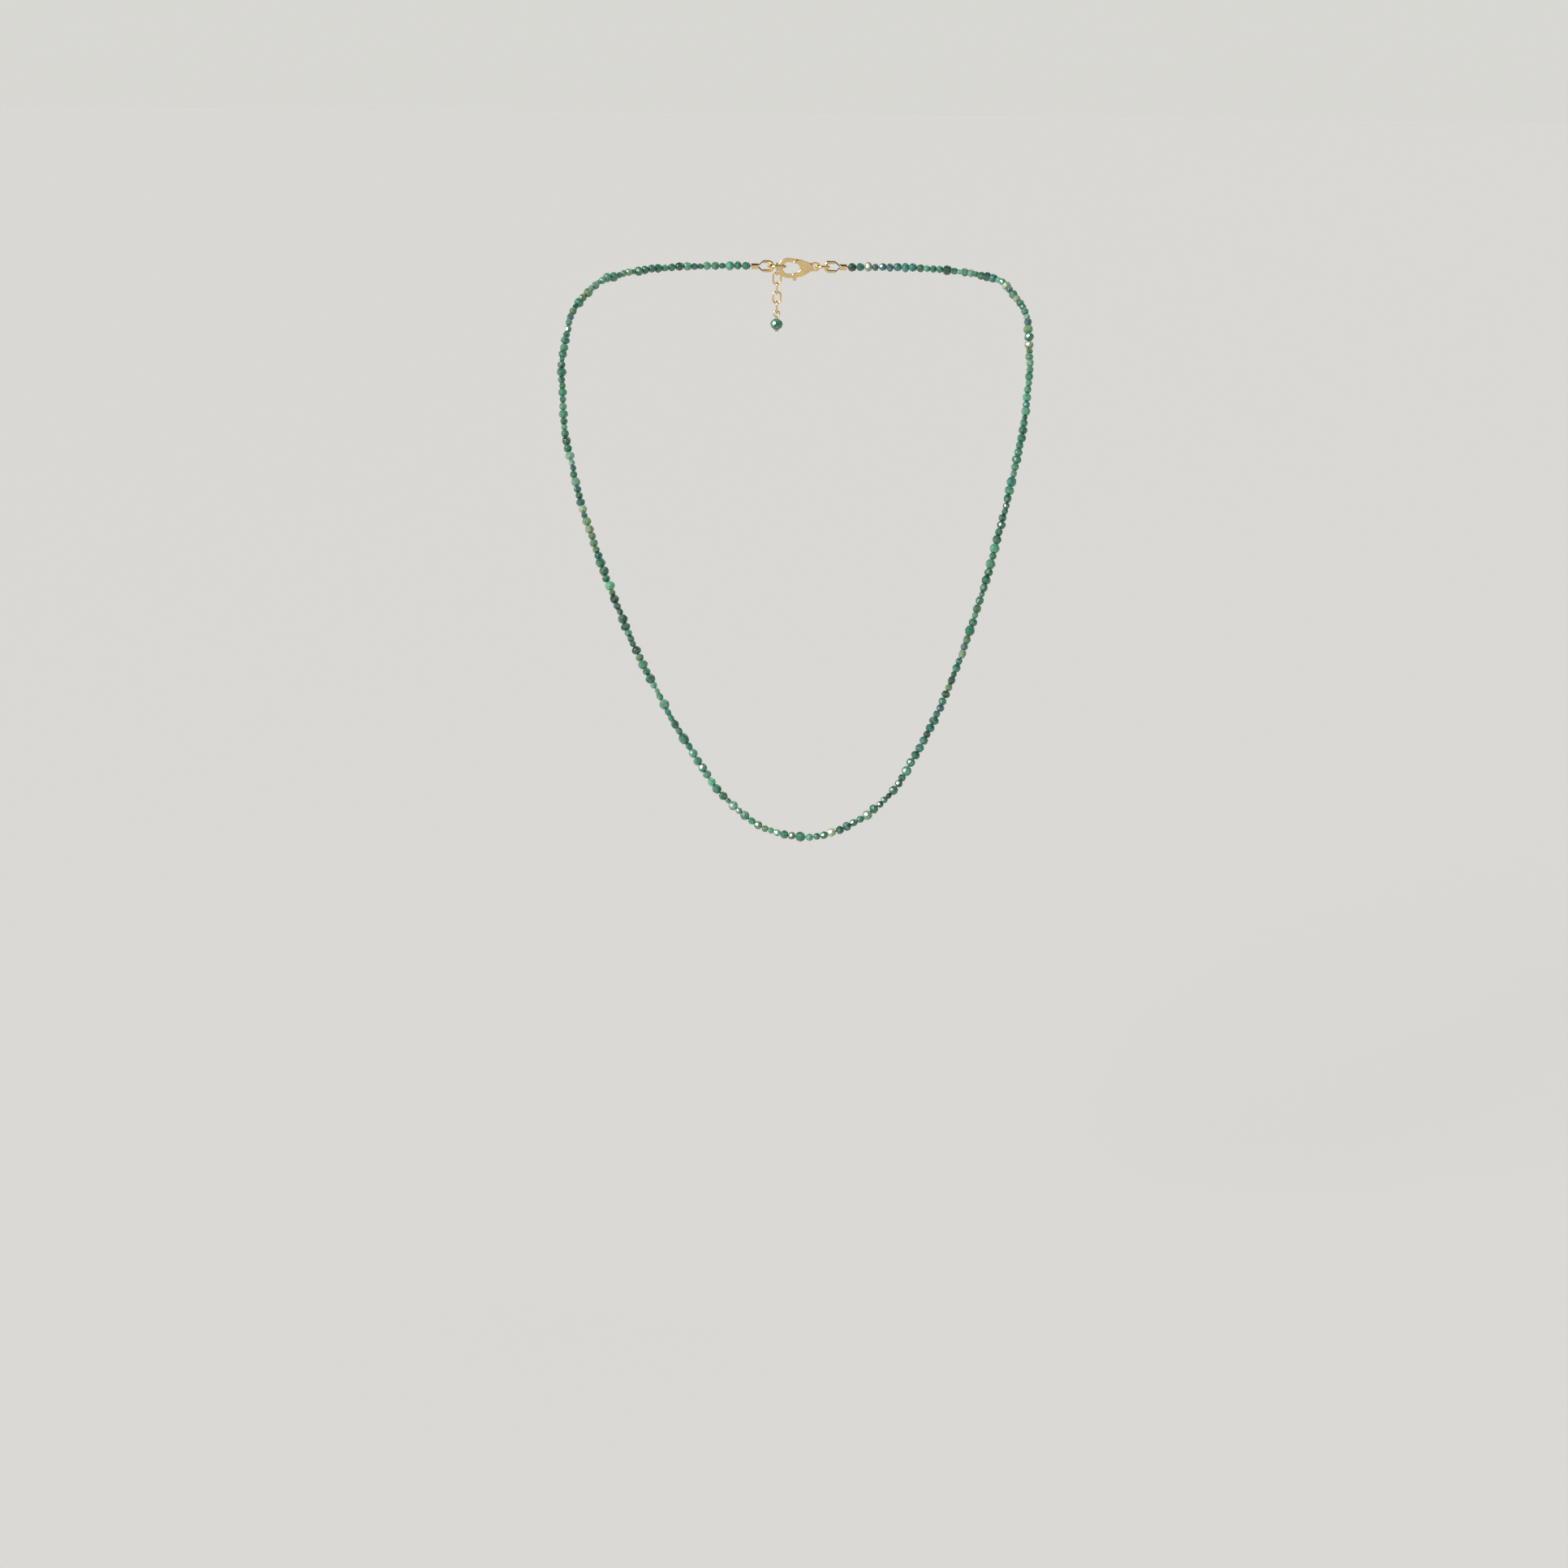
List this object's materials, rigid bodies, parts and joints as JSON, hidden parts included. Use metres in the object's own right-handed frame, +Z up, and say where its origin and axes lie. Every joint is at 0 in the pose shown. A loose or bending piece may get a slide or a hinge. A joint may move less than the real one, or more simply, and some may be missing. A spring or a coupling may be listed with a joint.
{
  "type": "strand necklace",
  "caption": "Single strand of tiny faceted green stone beads in its worn drape, with a lobster clasp and a short extender chain at the nape.",
  "frame": {"origin": "middle of the neck opening, level with the strand at the nape", "axes": "+Z up as it is worn, -Y towards the front of the chest, +X to the right of a viewer who faces the front"},
  "size_m": [0.1187, 0.0975, 0.1335],
  "materials": {
    "green_stone": "polished",
    "beading_wire": "satin",
    "gold_metal": "polished",
    "spring_steel": "satin"
  },
  "bodies": {
    "nape": {"beads_nape_left": "green_stone", "beads_nape_right": "green_stone", "wire_nape_left": "beading_wire", "wire_nape_right": "beading_wire", "crimp_left": "gold_metal", "crimp_right": "gold_metal", "wire_guard_left": "gold_metal", "wire_guard_right": "gold_metal"},
    "fold_1": {"beads_left_1": "green_stone", "beads_right_1": "green_stone", "wire_left_1": "beading_wire", "wire_right_1": "beading_wire"},
    "fold_2": {"beads_left_2": "green_stone", "beads_right_2": "green_stone", "wire_left_2": "beading_wire", "wire_right_2": "beading_wire"},
    "fold_3": {"beads_left_3": "green_stone", "beads_right_3": "green_stone", "wire_left_3": "beading_wire", "wire_right_3": "beading_wire"},
    "fold_4": {"beads_left_4": "green_stone", "beads_right_4": "green_stone", "wire_left_4": "beading_wire", "wire_right_4": "beading_wire"},
    "fold_5": {"beads_left_5": "green_stone", "beads_right_5": "green_stone", "wire_left_5": "beading_wire", "wire_right_5": "beading_wire"},
    "fold_6": {"beads_left_6": "green_stone", "beads_right_6": "green_stone", "wire_left_6": "beading_wire", "wire_right_6": "beading_wire"},
    "fold_7": {"beads_left_7": "green_stone", "beads_right_7": "green_stone", "wire_left_7": "beading_wire", "wire_right_7": "beading_wire"},
    "front": {"beads_front": "green_stone", "wire_front": "beading_wire"},
    "catch_ring": {"catch_ring": "gold_metal"},
    "clasp": {"clasp_body": "gold_metal", "clasp_rivet": "gold_metal", "clasp_spring": "spring_steel"},
    "lever": {"clasp_lever": "gold_metal"},
    "jump_ring": {"jump_ring": "gold_metal"},
    "link_1": {"chain_link_1": "gold_metal"},
    "link_2": {"chain_link_2": "gold_metal"},
    "link_3": {"chain_link_3": "gold_metal"},
    "link_4": {"chain_link_4": "gold_metal"},
    "link_5": {"chain_link_5": "gold_metal"},
    "drop": {"drop_pin": "gold_metal", "drop_bead": "green_stone"}
  },
  "joints": [
    {"name": "strand_fold_1", "type": "hinge", "parent": "nape", "child": "fold_1", "pos_m": [0.00032, -0.00005, -0.00513], "axis": [1, 0.0028, 0.0069], "range_deg": [-20, 20]},
    {"name": "strand_fold_2", "type": "hinge", "parent": "fold_1", "child": "fold_2", "pos_m": [-0.00028, -0.01005, -0.01512], "axis": [1, -0.0009, 0.0022], "range_deg": [-20, 20]},
    {"name": "strand_fold_3", "type": "hinge", "parent": "fold_2", "child": "fold_3", "pos_m": [-0.0009, -0.0186, -0.02925], "axis": [1, -0.0035, 0], "range_deg": [-20, 20]},
    {"name": "strand_fold_4", "type": "hinge", "parent": "fold_3", "child": "fold_4", "pos_m": [-0.00105, -0.02695, -0.0455], "axis": [1, -0.0064, 0], "range_deg": [-20, 20]},
    {"name": "strand_fold_5", "type": "hinge", "parent": "fold_4", "child": "fold_5", "pos_m": [-0.00055, -0.03625, -0.0625], "axis": [1, -0.0051, 0], "range_deg": [-20, 20]},
    {"name": "strand_fold_6", "type": "hinge", "parent": "fold_5", "child": "fold_6", "pos_m": [0.0004, -0.04568, -0.0795], "axis": [1, 0.0017, 0], "range_deg": [-20, 20]},
    {"name": "strand_fold_7", "type": "hinge", "parent": "fold_6", "child": "fold_7", "pos_m": [0.0015, -0.05382, -0.096], "axis": [0.9999, 0.0121, 0], "range_deg": [-20, 20]},
    {"name": "strand_fold_8", "type": "hinge", "parent": "fold_7", "child": "front", "pos_m": [0.00243, -0.06073, -0.1115], "axis": [0.9998, 0.0201, 0], "range_deg": [-20, 20]},
    {"name": "catch_ring_swing", "type": "hinge", "parent": "nape", "child": "catch_ring", "pos_m": [-0.0069, 0.024, 0.001], "axis": [1, 0, 0], "range_deg": [-8, 8]},
    {"name": "clasp_swing", "type": "hinge", "parent": "catch_ring", "child": "clasp", "pos_m": [-0.00357, 0.024, 0.001], "axis": [1, 0, 0], "range_deg": [-8, 8]},
    {"name": "jump_ring_swing", "type": "hinge", "parent": "clasp", "child": "jump_ring", "pos_m": [0.0046, 0.024, 0.001], "axis": [1, 0, 0], "range_deg": [-8, 8]},
    {"name": "clasp_lever_pivot", "type": "hinge", "parent": "clasp", "child": "lever", "pos_m": [0.00077, 0.024, -0.0003], "axis": [0, 1, 0], "range_deg": [0, 15], "stiffness_Nm_per_rad": 0.005},
    {"name": "chain_link_1_swing", "type": "hinge", "parent": "catch_ring", "child": "link_1", "pos_m": [-0.00567, 0.0261, 0.001], "axis": [1, 0, 0], "range_deg": [0, 50]},
    {"name": "chain_link_2_swing", "type": "hinge", "parent": "link_1", "child": "link_2", "pos_m": [-0.00567, 0.0261, -0.0013], "axis": [0, 1, 0], "range_deg": [-30, 30]},
    {"name": "chain_link_3_swing", "type": "hinge", "parent": "link_2", "child": "link_3", "pos_m": [-0.00567, 0.0261, -0.00375], "axis": [1, 0, 0], "range_deg": [-30, 30]},
    {"name": "chain_link_4_swing", "type": "hinge", "parent": "link_3", "child": "link_4", "pos_m": [-0.00567, 0.0261, -0.0062], "axis": [0, 1, 0], "range_deg": [-30, 30]},
    {"name": "chain_link_5_swing", "type": "hinge", "parent": "link_4", "child": "link_5", "pos_m": [-0.00567, 0.0261, -0.00865], "axis": [1, 0, 0], "range_deg": [-30, 30]},
    {"name": "drop_swing", "type": "hinge", "parent": "link_5", "child": "drop", "pos_m": [-0.00567, 0.0261, -0.0111], "axis": [0, 1, 0], "range_deg": [-45, 45]}
  ]
}
